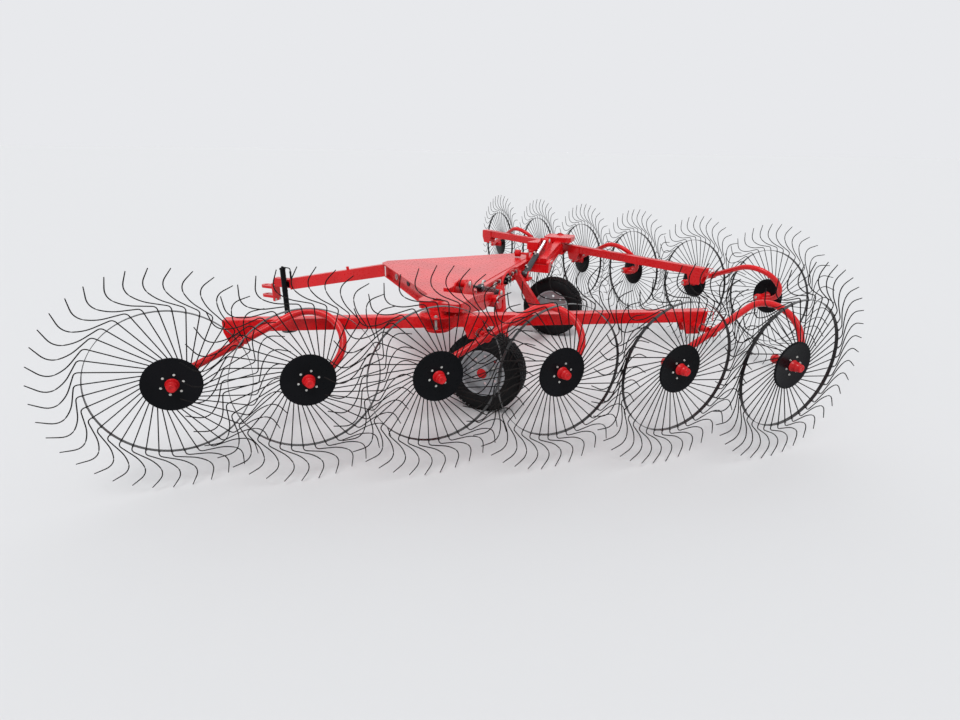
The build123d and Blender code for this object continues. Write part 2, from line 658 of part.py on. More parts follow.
jack_x = bar_front + jack_past
jack_high = bar_front_top + jack_rise
bracket_out = jack_out - jack_radius + jack_wall / 2
with BuildPart() as jack_tube:
    add(bar(Plane(origin=(jack_x, jack_out, jack_low)), jack_radius, jack_high - jack_low, round_sides))
    add(bar(Plane(origin=(jack_x, jack_out, jack_high)), jack_radius + jack_wall, jack_cap, round_sides))
    with BuildSketch(Plane.XY.offset(neck_middle - jack_bracket / 2)):
        with Locations((jack_x, (neck_wide / 2 + gap + bracket_out) / 2)):
            Rectangle(jack_bracket, bracket_out - neck_wide / 2 - gap)
    extrude(amount=jack_bracket)
    add(bar(Plane(origin=(jack_x, jack_out, jack_low)), jack_radius - jack_wall, jack_high - jack_low), mode=Mode.SUBTRACT)
keep(jack_tube.part, "jack_tube")

with BuildPart() as jack_leg:
    add(bar(Plane(origin=(jack_x, jack_out, 0)), jack_foot, jack_plate, swing_sides))
    add(bar(Plane(origin=(jack_x, jack_out, 0)), jack_radius - jack_wall - gap, jack_low + jack_overlap))
keep(jack_leg.part, "jack_leg")

print("hub height", round(hub_height, 3))
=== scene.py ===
import json
import math
import random

import bmesh
import bpy
import numpy as np
from mathutils import Matrix, Vector


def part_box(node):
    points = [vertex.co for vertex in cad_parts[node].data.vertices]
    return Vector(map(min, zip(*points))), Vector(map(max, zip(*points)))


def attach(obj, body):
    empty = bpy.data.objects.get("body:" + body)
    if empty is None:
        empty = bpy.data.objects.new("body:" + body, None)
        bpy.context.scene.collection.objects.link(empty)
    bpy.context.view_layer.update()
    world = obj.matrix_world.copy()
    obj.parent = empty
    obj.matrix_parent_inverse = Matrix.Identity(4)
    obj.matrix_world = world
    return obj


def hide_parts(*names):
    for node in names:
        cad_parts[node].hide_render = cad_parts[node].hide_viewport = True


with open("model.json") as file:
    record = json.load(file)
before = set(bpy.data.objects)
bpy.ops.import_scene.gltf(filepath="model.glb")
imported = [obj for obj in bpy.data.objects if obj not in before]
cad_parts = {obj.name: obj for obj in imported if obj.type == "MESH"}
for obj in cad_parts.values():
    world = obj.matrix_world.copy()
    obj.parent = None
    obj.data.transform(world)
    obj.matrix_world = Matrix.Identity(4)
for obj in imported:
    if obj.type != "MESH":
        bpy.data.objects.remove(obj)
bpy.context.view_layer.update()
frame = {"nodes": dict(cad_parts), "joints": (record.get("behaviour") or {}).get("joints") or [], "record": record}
random.seed(7)

UP = Vector((0, 0, 1))
FRONT = Vector((1, 0, 0))
LEFT = Vector((0, 1, 0))
JOINTS = {joint["name"]: joint for joint in frame["joints"]}
RIDES = {node: body for body, nodes in frame["record"]["behaviour"]["bodies"].items() for node in nodes}


def pivot_of(joint):
    return Vector(JOINTS[joint]["pos_m"])


def axis_of(joint):
    return Vector(JOINTS[joint]["axis"]).normalized()


# Places on the left half of the machine, in metres; the right half is its mirror image
HUBS = [pivot_of("rake_wheel_left_%d_spin" % n) for n in range(1, 7)]
FEET = [pivot_of("rocker_left_%d_rock" % n) for n in range(1, 4)]
OUT = axis_of("rake_wheel_left_1_spin")
SIDE = UP.cross(OUT)
ALONG = (HUBS[1] - HUBS[0]).normalized()
INWARD = UP.cross(ALONG)
PITCH = (HUBS[1] - HUBS[0]).length
WHEEL = pivot_of("cart_wheel_left_spin")
HINGE = pivot_of("wing_left_fold")
SWING = pivot_of("arm_left_swing")
ANCHOR = pivot_of("cylinder_left_tilt")
PUSH = -axis_of("cylinder_left_slide")


# Mesh building
def ring_faces(first, count):
    """Faces of the wall from the ring of points that starts at number first to the ring after it."""
    beside = [(k + 1) % count for k in range(count)]
    return [(first + k, first + n, first + count + n, first + count + k) for k, n in enumerate(beside)]


class Shape:
    """Vertices and faces in the machine's frame, with a material number and shading for each face."""

    def __init__(self):
        self.verts, self.faces, self.mats, self.smooth = [], [], [], []

    def add(self, verts, faces, mat=0, smooth=True):
        base = len(self.verts)
        self.verts.extend([tuple(p) for p in verts])
        self.faces.extend([tuple(base + i for i in face) for face in faces])
        self.mats.extend([mat] * len(faces))
        self.smooth.extend([smooth] * len(faces))

    def tube(self, path, radius, sides=12, mat=0, caps=True, normal=None):
        path = [Vector(p) for p in path]
        count = len(path)
        tangents = []
        for i in range(count):
            before = path[i] - path[i - 1] if i else path[1] - path[0]
            after = path[i + 1] - path[i] if i < count - 1 else path[-1] - path[-2]
            tangents.append((before.normalized() + after.normalized()).normalized())
        ref = Vector(normal) if normal else (UP if abs(tangents[0].z) < 0.9 else FRONT)
        u = (ref - tangents[0] * ref.dot(tangents[0])).normalized()
        verts, faces = [], []
        radii = radius if isinstance(radius, (list, tuple)) else [radius] * count
        for i in range(count):
            if i:
                u = (u - tangents[i] * u.dot(tangents[i])).normalized()
            w = tangents[i].cross(u)
            for k in range(sides):
                t = 2 * math.pi * k / sides
                verts.append(path[i] + (u * math.cos(t) + w * math.sin(t)) * radii[i])
        for i in range(count - 1):
            faces += ring_faces(i * sides, sides)
        self.add(verts, faces, mat)
        if caps:
            ring = tuple(range(sides))
            self.add(verts[:sides], [ring[::-1]], mat, False)
            self.add(verts[-sides:], [ring], mat, False)

    def revolve(self, profile, at, segments=32, mat=0, smooth=True):
        """Profile of (radius, height) pairs turned about +Z of the matrix at."""
        verts, faces = [], []
        count = len(profile)
        for k in range(segments):
            t = 2 * math.pi * k / segments
            for r, z in profile:
                verts.append(at @ Vector((r * math.cos(t), r * math.sin(t), z)))
        for k in range(segments):
            j = (k + 1) % segments
            for i in range(count - 1):
                quad = [k * count + i, j * count + i, j * count + i + 1, k * count + i + 1]
                if profile[i][0] < 1e-9:
                    quad = [quad[0], quad[2], quad[3]]
                elif profile[i + 1][0] < 1e-9:
                    quad = [quad[0], quad[1], quad[2]]
                faces.append(tuple(quad))
        self.add(verts, faces, mat, smooth)

    def prism(self, poly, at, low, high, mat=0):
        count = len(poly)
        verts = [at @ Vector((x, y, z)) for z in (low, high) for x, y in poly]
        faces = [tuple(range(count))[::-1], tuple(range(count, 2 * count))]
        self.add(verts, faces + ring_faces(0, count), mat, False)

    def slab(self, at, width, depth, low, high, mat=0, cut=0.003):
        """Rectangular block with small cut corners on all its edges."""
        def ring(inset, z):
            x, y = width / 2 - inset, depth / 2 - inset
            flat = [(x - cut, -y), (x, -y + cut), (x, y - cut), (x - cut, y),
                    (-x + cut, y), (-x, y - cut), (-x, -y + cut), (-x + cut, -y)]
            return [at @ Vector((a, b, z)) for a, b in flat]
        rings = [ring(cut, low), ring(0, low + cut), ring(0, high - cut), ring(cut, high)]
        verts = [p for r in rings for p in r]
        faces = [tuple(range(8))[::-1], tuple(range(24, 32))]
        for first in (0, 8, 16):
            faces += ring_faces(first, 8)
        self.add(verts, faces, mat, False)

    def bolt(self, at, size=0.008, height=0.007, mat=0, washer=True):
        """Hexagon head, with a washer if wanted, standing on +Z of the matrix at."""
        if washer:
            self.revolve([(size * 1.45, 0), (size * 1.45, 0.0016), (size * 0.9, 0.0016)], at, 18, mat, False)
        turn = random.random()
        hexa = [(size * math.cos(a), size * math.sin(a)) for a in (math.pi / 3 * k + turn for k in range(6))]
        seat = 0.0012
        self.prism(hexa, at, seat, seat + height, mat)
        end = [(size * 0.52, seat + height), (size * 0.5, height + 0.004), (0, height + 0.0045)]
        self.revolve(end, at, 12, mat)

    def weld(self, start, end, radius=0.004, mat=0):
        """Lumpy bead of weld along a straight seam."""
        start, end = Vector(start), Vector(end)
        count = max(4, int((end - start).length / (radius * 0.9)))
        path = [start.lerp(end, k / count) for k in range(count + 1)]
        radii = [radius * (0.82 + 0.18 * (k % 2) + random.uniform(-0.08, 0.08)) for k in range(count + 1)]
        radii[0] = radii[-1] = radius * 0.4
        self.tube(path, radii, 6, mat)

    def weld_ring(self, at, ring, height=0.0, radius=0.004, mat=0):
        """Lumpy bead round a tube of radius ring, about +Z of the matrix at."""
        count = max(12, int(2 * math.pi * ring / (radius * 1.2)))
        count += count % 2
        verts, faces = [], []
        for k in range(count):
            t = 2 * math.pi * k / count
            r = radius * (0.85 + 0.15 * (k % 2) + random.uniform(-0.06, 0.06))
            for i in range(6):
                a = math.pi / 3 * i
                far = ring + r * math.cos(a)
                verts.append(at @ Vector((far * math.cos(t), far * math.sin(t), height + r * math.sin(a))))
        for k in range(count):
            j = (k + 1) % count
            faces += [(6 * k + i, 6 * j + i, 6 * j + (i + 1) % 6, 6 * k + (i + 1) % 6) for i in range(6)]
        self.add(verts, faces, mat)

    def moved(self, at):
        copy = Shape()
        turn = np.array(at, float)
        points = np.array(self.verts, float) @ turn[:3, :3].T + turn[:3, 3]
        copy.verts = [tuple(p) for p in points]
        copy.faces, copy.mats, copy.smooth = self.faces, self.mats, self.smooth
        return copy


def frame_at(origin, z, x=None):
    z = Vector(z).normalized()
    x = Vector(x) if x is not None else (UP if abs(z.z) < 0.9 else FRONT)
    x = (x - z * x.dot(z)).normalized()
    at = Matrix((x, z.cross(x), z)).transposed().to_4x4()
    at.translation = Vector(origin)
    return at


# Edges sharper than SHARP are rounded; a CAD mesh is merged within MERGE metres and flattened within FLAT
SHARP = math.radians(32)
MERGE = 1e-5
FLAT = math.radians(0.6)


def show(name, mesh, body, nodes=(), bevel=0.0):
    obj = bpy.data.objects.new(name, mesh)
    bpy.context.scene.collection.objects.link(obj)
    if bevel:
        for poly in mesh.polygons:
            poly.use_smooth = True
        mesh.set_sharp_from_angle(angle=SHARP)
        edges = obj.modifiers.new("edges", "BEVEL")
        edges.width = bevel
        edges.segments = 2
        edges.limit_method = "ANGLE"
        edges.angle_limit = SHARP
        edges.harden_normals = True
    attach(obj, body)
    if nodes:
        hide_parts(*nodes)


def make(name, shape, mats, body, nodes=(), flip=False):
    mesh = bpy.data.meshes.new(name)
    points = np.array(shape.verts, float)
    faces = shape.faces
    if flip:
        points = points * np.array([1, -1, 1])
        faces = [face[::-1] for face in faces]
    mesh.from_pydata(points.tolist(), [], faces)
    mesh.polygons.foreach_set("material_index", shape.mats)
    mesh.polygons.foreach_set("use_smooth", shape.smooth)
    for mat in mats:
        mesh.materials.append(mat)
    mesh.validate()
    mesh.update()
    show(name, mesh, body, nodes)


def both(name, shape, mats, body, nodes=()):
    """The left piece and its mirror image; %s in a name stands for the side."""
    for side in ("left", "right"):
        rides = body % side if "%" in body else body
        make(name % side, shape, mats, rides, [n % side for n in nodes], side == "right")


def dress(node, mats, bevel, paint=None):
    """A copy of a CAD node with rounded edges stands for the node.

    Where paint is given, it picks the finish of each face by the face's middle.
    """
    mesh = bpy.data.meshes.new(node + "_look")
    bm = bmesh.new()
    bm.from_mesh(frame["nodes"][node].data)
    bmesh.ops.remove_doubles(bm, verts=bm.verts, dist=MERGE)
    bmesh.ops.dissolve_limit(bm, angle_limit=FLAT, verts=bm.verts, edges=bm.edges)
    for face in bm.faces:
        face.material_index = paint(face.calc_center_median()) if paint else 0
    bm.to_mesh(mesh)
    bm.free()
    mesh.materials.clear()
    for mat in mats:
        mesh.materials.append(mat)
    show(node + "_look", mesh, RIDES[node], [node], bevel)


# Materials
def material(name):
    mat = bpy.data.materials.new(name)
    mat.use_nodes = True
    tree = mat.node_tree
    tree.nodes.clear()
    out = tree.nodes.new("ShaderNodeOutputMaterial")
    shader = tree.nodes.new("ShaderNodeBsdfPrincipled")
    tree.links.new(shader.outputs[0], out.inputs[0])
    return mat, tree, shader


def noise(tree, coord, scale, detail=4.0, rough=0.55):
    node = tree.nodes.new("ShaderNodeTexNoise")
    node.inputs["Scale"].default_value = scale
    node.inputs["Detail"].default_value = detail
    node.inputs["Roughness"].default_value = rough
    tree.links.new(coord, node.inputs["Vector"])
    return node.outputs["Fac"]


def ramp(tree, value, low, high, a=0.0, b=1.0):
    node = tree.nodes.new("ShaderNodeMapRange")
    node.interpolation_type = "SMOOTHSTEP"
    for name, number in (("From Min", low), ("From Max", high), ("To Min", a), ("To Max", b)):
        node.inputs[name].default_value = number
    tree.links.new(value, node.inputs["Value"])
    return node.outputs[0]


def mix(tree, fac, a, b):
    node = tree.nodes.new("ShaderNodeMix")
    node.data_type = "RGBA"
    tree.links.new(fac, node.inputs["Factor"])
    for sock, value in ((node.inputs[6], a), (node.inputs[7], b)):
        if hasattr(value, "links"):
            tree.links.new(value, sock)
        else:
            sock.default_value = (*value, 1)
    return node.outputs[2]


def calc(tree, operation, a, b=None):
    node = tree.nodes.new("ShaderNodeMath")
    node.operation = operation
    for sock, value in ((node.inputs[0], a), (node.inputs[1], b)):
        if hasattr(value, "links"):
            tree.links.new(value, sock)
        elif value is not None:
            sock.default_value = value
    return node.outputs[0]


def finish_of(name, color, dark, dust=(0.40, 0.35, 0.29), dusty=0.1, rough=(0.25, 0.5), metal=0.0, coat=0.0,
              spec=0.5, grain=0.0006, bump_scale=260.0, patch=3.0, low_dust=0.0, chips=0.0):
    """Surface with patchy colour, dust on what faces up and low down, chipped edges and fine bump."""
    mat, tree, shader = material(name)
    coord = tree.nodes.new("ShaderNodeTexCoord").outputs["Object"]
    geo = tree.nodes.new("ShaderNodeNewGeometry")
    small = noise(tree, coord, patch * 14, 6.0, 0.65)
    body = mix(tree, ramp(tree, noise(tree, coord, patch, 5.0), 0.35, 0.7), color, dark)
    split = tree.nodes.new("ShaderNodeSeparateXYZ")
    tree.links.new(geo.outputs["Normal"], split.inputs[0])
    facing = ramp(tree, split.outputs["Z"], 0.2, 1.0, 0.12, 1.0)
    amount = calc(tree, "MULTIPLY", calc(tree, "MULTIPLY", facing, ramp(tree, small, 0.42, 0.72)), dusty)
    if low_dust:
        place = tree.nodes.new("ShaderNodeSeparateXYZ")
        tree.links.new(coord, place.inputs[0])
        low = ramp(tree, place.outputs["Z"], 0.0, 0.45, low_dust, 0.0)
        amount = calc(tree, "ADD", amount, calc(tree, "MULTIPLY", low, ramp(tree, small, 0.3, 0.65)))
    if chips:
        soft = tree.nodes.new("ShaderNodeBevel")
        soft.samples = 4
        soft.inputs["Radius"].default_value = 0.004
        dot = tree.nodes.new("ShaderNodeVectorMath")
        dot.operation = "DOT_PRODUCT"
        tree.links.new(soft.outputs[0], dot.inputs[0])
        tree.links.new(geo.outputs["Normal"], dot.inputs[1])
        edge = ramp(tree, dot.outputs["Value"], 0.90, 0.995, 1.0, 0.0)
        worn = calc(tree, "MULTIPLY", edge, ramp(tree, noise(tree, coord, 55.0, 4.0), 0.60, 0.66, 0.0, chips))
        body = mix(tree, worn, body, (0.11, 0.07, 0.06))
    tree.links.new(mix(tree, amount, body, dust), shader.inputs["Base Color"])
    clean_rough = ramp(tree, small, 0.3, 0.7, *rough)
    dust_rough = calc(tree, "MULTIPLY", amount, 0.35)
    tree.links.new(calc(tree, "ADD", clean_rough, dust_rough), shader.inputs["Roughness"])
    shader.inputs["Metallic"].default_value = metal
    shader.inputs["Coat Weight"].default_value = coat
    shader.inputs["Coat Roughness"].default_value = 0.12
    shader.inputs["Specular IOR Level"].default_value = spec
    bump = tree.nodes.new("ShaderNodeBump")
    bump.inputs["Strength"].default_value = 0.35
    bump.inputs["Distance"].default_value = grain
    tree.links.new(noise(tree, coord, bump_scale, 3.0), bump.inputs["Height"])
    tree.links.new(bump.outputs[0], shader.inputs["Normal"])
    return mat


RED = finish_of("red_enamel", (0.68, 0.005, 0.008), (0.56, 0.0035, 0.006), dusty=0.03, rough=(0.24, 0.36),
                spec=0.3, coat=0.10, grain=0.00015, bump_scale=120.0, chips=0.55)
CAP_RED = finish_of("red_cap", (0.60, 0.004, 0.008), (0.48, 0.003, 0.006), dusty=0.02, rough=(0.22, 0.36),
                    spec=0.3)
BLACK = finish_of("black_gloss", (0.0025, 0.003, 0.004), (0.005, 0.005, 0.0065), dusty=0.008,
                  rough=(0.24, 0.4), spec=0.08)
WIRE = finish_of("tine_wire", (0.004, 0.0035, 0.004), (0.012, 0.009, 0.008), dusty=0.01, rough=(0.38, 0.6),
                 spec=0.10, patch=9.0)
HOOP = finish_of("hoop_strip", (0.006, 0.006, 0.007), (0.012, 0.011, 0.012), dusty=0.03, rough=(0.2, 0.34),
                 spec=0.4, patch=6.0)
ZINC = finish_of("zinc", (0.66, 0.66, 0.63), (0.50, 0.50, 0.48), dusty=0.03, rough=(0.22, 0.42), metal=0.85,
                 patch=30.0)
SILVER = finish_of("silver_paint", (0.42, 0.43, 0.45), (0.32, 0.33, 0.34), dusty=0.16, rough=(0.3, 0.48),
                   metal=0.35, patch=8.0)
RUBBER = finish_of("tyre_rubber", (0.004, 0.004, 0.0048), (0.008, 0.008, 0.0088), dusty=0.015,
                   rough=(0.5, 0.75), spec=0.12, grain=0.001, bump_scale=140.0, low_dust=0.014)
BARREL = finish_of("cylinder_paint", (0.05, 0.052, 0.058), (0.035, 0.036, 0.04), dusty=0.04,
                   rough=(0.16, 0.3), metal=0.4, coat=0.4, patch=10.0)
CHROME = finish_of("rod_chrome", (0.82, 0.83, 0.85), (0.74, 0.75, 0.77), dusty=0.0, rough=(0.07, 0.14),
                   metal=1.0)
STRAP = finish_of("pale_steel", (0.52, 0.50, 0.48), (0.40, 0.38, 0.36), dusty=0.1, rough=(0.4, 0.6),
                  metal=0.3, patch=20.0)
STRIP = finish_of("reflector_strip", (0.80, 0.80, 0.78), (0.70, 0.70, 0.69), dusty=0.05, rough=(0.25, 0.4),
                  patch=40.0)

# Rake wheels
TINES = 40
WIRE_R, WIRE_TIP_R = 0.0035, 0.0028
STAPLE_R = 0.0016
HOOP_R = 0.4475
HOOP_THICK = 0.003
HOOP_TOP, HOOP_LOW = -0.0035, -0.0275
DISC_R = 0.167
DISC_FACE = 0.005
RIVET_CIRCLE = 0.158
HUB_BOLT_CIRCLE = 0.063
# Points of one tine on its wheel's plane, and how far from each bend its rounding starts
TINE = [(0.130, -0.058), (0.478, 0.0, 0.022), (0.497, 0.160, 0.060), (0.553, 0.235, 0.050), (0.6615, 0.2145)]
TINE_LEAN = math.radians(-18)
# Most that a tine strays from its even place: its turn in radians, and sideways at its tip in metres
STRAY = 0.004
# A tine sways only outside the hoop: radius where that starts, and the length over which it grows
SWAY_FROM, SWAY_OVER = 0.45, 0.25


def rounded(points, steps):
    """Line through the points with each inner corner rounded."""
    line = [Vector(points[0][:2])]
    for i in range(1, len(points) - 1):
        corner, before, after = (Vector(points[k][:2]) for k in (i, i - 1, i + 1))
        start = corner + (before - corner).normalized() * points[i][2]
        end = corner + (after - corner).normalized() * points[i][2]
        for k in range(steps + 1):
            t = k / steps
            line.append(start * (1 - t) ** 2 + corner * 2 * t * (1 - t) + end * t * t)
    line.append(Vector(points[-1][:2]))
    return line


def add_tines(wheel):
    """Bent wires from the disc, each with the staple that holds it on the hoop."""
    flat = rounded(TINE, 6)
    on_hoop = min(flat, key=lambda p: abs(p.length - HOOP_R))
    hoop_lean = math.atan2(on_hoop.y, on_hoop.x)
    for k in range(TINES):
        t = TINE_LEAN + 2 * math.pi * k / TINES + random.uniform(-STRAY, STRAY)
        c, s = math.cos(t), math.sin(t)
        sway = random.uniform(-STRAY, STRAY)
        path = []
        for p in flat:
            beyond = max(0.0, (p.length - SWAY_FROM) / SWAY_OVER)
            path.append(Vector((p.x * c - p.y * s, p.x * s + p.y * c, sway * beyond)))
        wheel.tube(path, [WIRE_R] * (len(path) - 1) + [WIRE_TIP_R], 7, 1, normal=UP)
        a = t + hoop_lean
        radial, around = Vector((math.cos(a), math.sin(a), 0)), Vector((-math.sin(a), math.cos(a), 0))
        middle = radial * (HOOP_R - HOOP_THICK / 2)
        loop = [middle + around * (0.0062 * math.cos(b)) + UP * (0.0058 * math.sin(b) if b > 0 else 0)
                for b in (math.pi * i / 6 for i in range(7))]
        loop = [loop[0] - UP * 0.012] + loop + [loop[-1] - UP * 0.012]
        wheel.tube(loop, STAPLE_R, 5, 4)


def add_disc(wheel, middle):
    """Hoop, pressed disc, a rivet for each tine and the bolts round the hub."""
    inside = HOOP_R - HOOP_THICK
    hoop = [(inside, HOOP_TOP), (HOOP_R, HOOP_TOP), (HOOP_R, HOOP_LOW), (inside, HOOP_LOW),
            (inside, HOOP_TOP)]
    wheel.revolve(hoop, middle, 120, 4, False)
    disc = [(0.030, DISC_FACE), (0.148, DISC_FACE), (0.153, 0.0062), (DISC_R - 0.004, 0.0062),
            (DISC_R - 0.001, 0.0052), (DISC_R, 0.003), (DISC_R, -0.003), (DISC_R - 0.003, -DISC_FACE),
            (0.030, -DISC_FACE)]
    wheel.revolve(disc, middle, 80, 0)
    rivet = [(0.0036, 0.0058), (0.0034, 0.0074), (0.0018, 0.0084), (0.0, 0.0086)]
    for k in range(TINES):
        t = TINE_LEAN + math.radians(3.0) + 2 * math.pi * k / TINES
        spot = (RIVET_CIRCLE * math.cos(t), RIVET_CIRCLE * math.sin(t), 0)
        wheel.revolve(rivet, Matrix.Translation(spot), 8, 0)
    for k in range(6):
        t = math.radians(60 * k + 12)
        spot = (HUB_BOLT_CIRCLE * math.cos(t), HUB_BOLT_CIRCLE * math.sin(t), DISC_FACE)
        wheel.bolt(Matrix.Translation(spot), 0.0050, 0.005, 2)


def add_hub(wheel, middle):
    """Hub with its stepped cap in front of the disc, and the hub's shorter back part."""
    cap = [(0.0395, 0.005), (0.038, 0.009), (0.034, 0.011), (0.033, 0.040), (0.031, 0.0445),
           (0.0275, 0.046), (0.027, 0.066), (0.0245, 0.0705), (0.020, 0.072), (0.011, 0.072),
           (0.010, 0.0705), (0.0, 0.0705)]
    wheel.revolve(cap, middle, 40, 3)
    back = [(0.0165, -0.046), (0.031, -0.046), (0.034, -0.043), (0.034, -0.010), (0.044, -0.005)]
    wheel.revolve(back, middle, 36, 3)


def rake_wheel():
    wheel = Shape()
    middle = Matrix.Identity(4)
    add_tines(wheel)
    add_disc(wheel, middle)
    add_hub(wheel, middle)
    return wheel


WHEEL_AT = Matrix((SIDE, UP, OUT)).transposed().to_4x4()
for number, hub in enumerate(HUBS, 1):
    WHEEL_AT.translation = hub
    name = "rake_wheel_%%s_%d" % number
    both(name + "_look", rake_wheel().moved(WHEEL_AT), [BLACK, WIRE, ZINC, CAP_RED, HOOP], name, [name])

# Tandem tubes
TUBE_R = 0.024
CROOK_R = 0.225
CROOK_DROP = 0.025
TUBE_BACK = 0.120
LEAN = math.radians(40)
RISE = CROOK_R - CROOK_DROP
CLIMB = math.asin(CROOK_R / math.hypot(PITCH, RISE)) + math.atan2(RISE, PITCH)
PIN_SKEW = math.acos(abs(OUT.dot(INWARD)))
SLEEVE_R = 0.032
SPINDLE_BACK = 0.150
# Housing and spindle of a hub: radius, and distance along the spindle from its back end
SPINDLE = [(0.0, 0.0), (0.027, 0.0), (0.030, 0.003), (0.030, 0.095), (0.027, 0.098), (0.016, 0.098),
           (0.016, 0.200)]


def crook_points():
    start_u, start_v = PITCH - CROOK_R * math.sin(CLIMB), RISE + CROOK_R * math.cos(CLIMB)
    points = [(start_u * k / 8, start_v * k / 8) for k in range(8)]
    for k in range(41):
        a = math.pi / 2 + CLIMB - (math.pi + CLIMB) * k / 40
        points.append((PITCH + CROOK_R * math.cos(a), RISE + CROOK_R * math.sin(a)))
    return points


for pair, foot in enumerate(FEET):
    rocker = Shape()
    front = HUBS[2 * pair] - OUT * TUBE_BACK
    lean_up = UP * math.cos(LEAN) + INWARD * math.sin(LEAN)
    rocker.tube([front + ALONG * u + lean_up * v for u, v in crook_points()], TUBE_R, 28, 0)
    for hub in (HUBS[2 * pair], HUBS[2 * pair + 1]):
        back = frame_at(hub - OUT * SPINDLE_BACK, OUT, UP)
        rocker.revolve(SPINDLE, back, 32, 0)
        rocker.bolt(frame_at(hub - OUT * SPINDLE_BACK, -OUT, UP), 0.010, 0.008, 1)
        rocker.weld_ring(back, 0.031, 0.022, 0.004, 0)
    # The sleeve runs along the pin from the hanger to the tube, whose line it meets above the pin's foot
    slope = (lean_up * math.sin(CLIMB) + ALONG * math.cos(CLIMB)).normalized()
    across = OUT.cross(slope)
    reach = (front - foot).dot(across.cross(slope)) / OUT.dot(across.cross(slope))
    start = 0.006 + SLEEVE_R * math.tan(PIN_SKEW)
    sleeve = frame_at(foot, OUT, UP)
    rocker.revolve([(0.0205, start), (0.030, start), (SLEEVE_R, start + 0.002), (SLEEVE_R, reach - 0.003),
                    (SLEEVE_R - 0.003, reach), (0.0, reach)], sleeve, 32, 0)
    rocker.weld_ring(sleeve, SLEEVE_R, reach - TUBE_R - 0.004, 0.004, 0)
    name = "rocker_%%s_%d" % (pair + 1)
    both(name + "_look", rocker, [RED, ZINC], name, [name])

# CAD pieces with rounded edges
RIM_HUB_R = 0.066
LOCK_R = 0.045
LOCK_RISE = 0.077
LOCK_BAR_R = 0.0135
LOCK_BAR_BACK = 0.272
HINGE_PIN_R = 0.0185
KNOB_BACK = 0.342


def off_axis(point, origin, axis):
    rel = point - origin
    return (rel - axis * rel.dot(axis)).length


def mirrored(vector, sign):
    return Vector((vector.x, vector.y * sign, vector.z))


def cross_paint(point):
    """Zinc on the lock bars and hinge pins, black on the left lock's knob, red elsewhere."""
    sign = 1 if point.y > 0 else -1
    hinge = mirrored(HINGE, sign)
    lock = off_axis(point, hinge + UP * LOCK_RISE, FRONT)
    if lock < LOCK_R and point.x > WHEEL.x + KNOB_BACK:
        return 2 if sign > 0 else 0
    if lock < LOCK_BAR_R and point.x > WHEEL.x + LOCK_BAR_BACK or off_axis(point, hinge, FRONT) < HINGE_PIN_R:
        return 1
    return 0


for node, bevel in (("deck", 0.0015), ("mast", 0.002), ("drawbar", 0.006), ("hitch_clevis", 0.003)):
    dress(node, (RED,), bevel)
for node in ("jack_tube", "jack_leg"):
    dress(node, (BLACK,), 0.001)
dress("cross_beam", (RED, ZINC, BLACK), 0.003, cross_paint)
for side, sign in (("left", 1), ("right", -1)):
    for node, bevel in (("side_channel_", 0.0025), ("wheel_leg_", 0.004), ("wing_", 0.003),
                        ("rake_arm_", 0.005), ("hangers_", 0.002)):
        dress(node + side, (RED,), bevel)
    wheel = mirrored(WHEEL, sign)
    dress("rim_" + side, (SILVER, CAP_RED), 0.002,
          lambda p: int(off_axis(p, wheel, LEFT) < RIM_HUB_R))

# Lift cylinders
NORMAL = FRONT.cross(PUSH)
BARREL_R = 0.031
ROD_R = 0.016
EYE_R = 0.030
EYE_BORE_R = 0.015
EYE_HALF = 0.030
PIN_R = 0.014
# Hose elbow on a port: distance towards the anchor and height over the port's foot
ELBOW = ((0, 0.022), (0, 0.032), (-0.003, 0.038), (-0.010, 0.041), (-0.028, 0.041))
EAR_FAR = 0.048
ROD_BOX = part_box("cylinder_rod_left")
BARREL_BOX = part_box("cylinder_barrel_left")
BARREL_LONG = (BARREL_BOX[1].y - ANCHOR.y - BARREL_R * abs(PUSH.z)) / PUSH.y
STRETCH = (ROD_BOX[1].y - EYE_R - ANCHOR.y) / PUSH.y
EYE = ANCHOR + PUSH * STRETCH


def cross_eye(shape, middle, mat):
    """Eye at a cylinder's end: a short tube across the cylinder."""
    far = 2 * EYE_HALF
    profile = [(EYE_BORE_R, 0.0), (EYE_R - 0.002, 0.0), (EYE_R, 0.002), (EYE_R, far - 0.002),
               (EYE_R - 0.002, far), (EYE_BORE_R, far)]
    shape.revolve(profile, frame_at(middle - FRONT * EYE_HALF, FRONT), 32, mat)


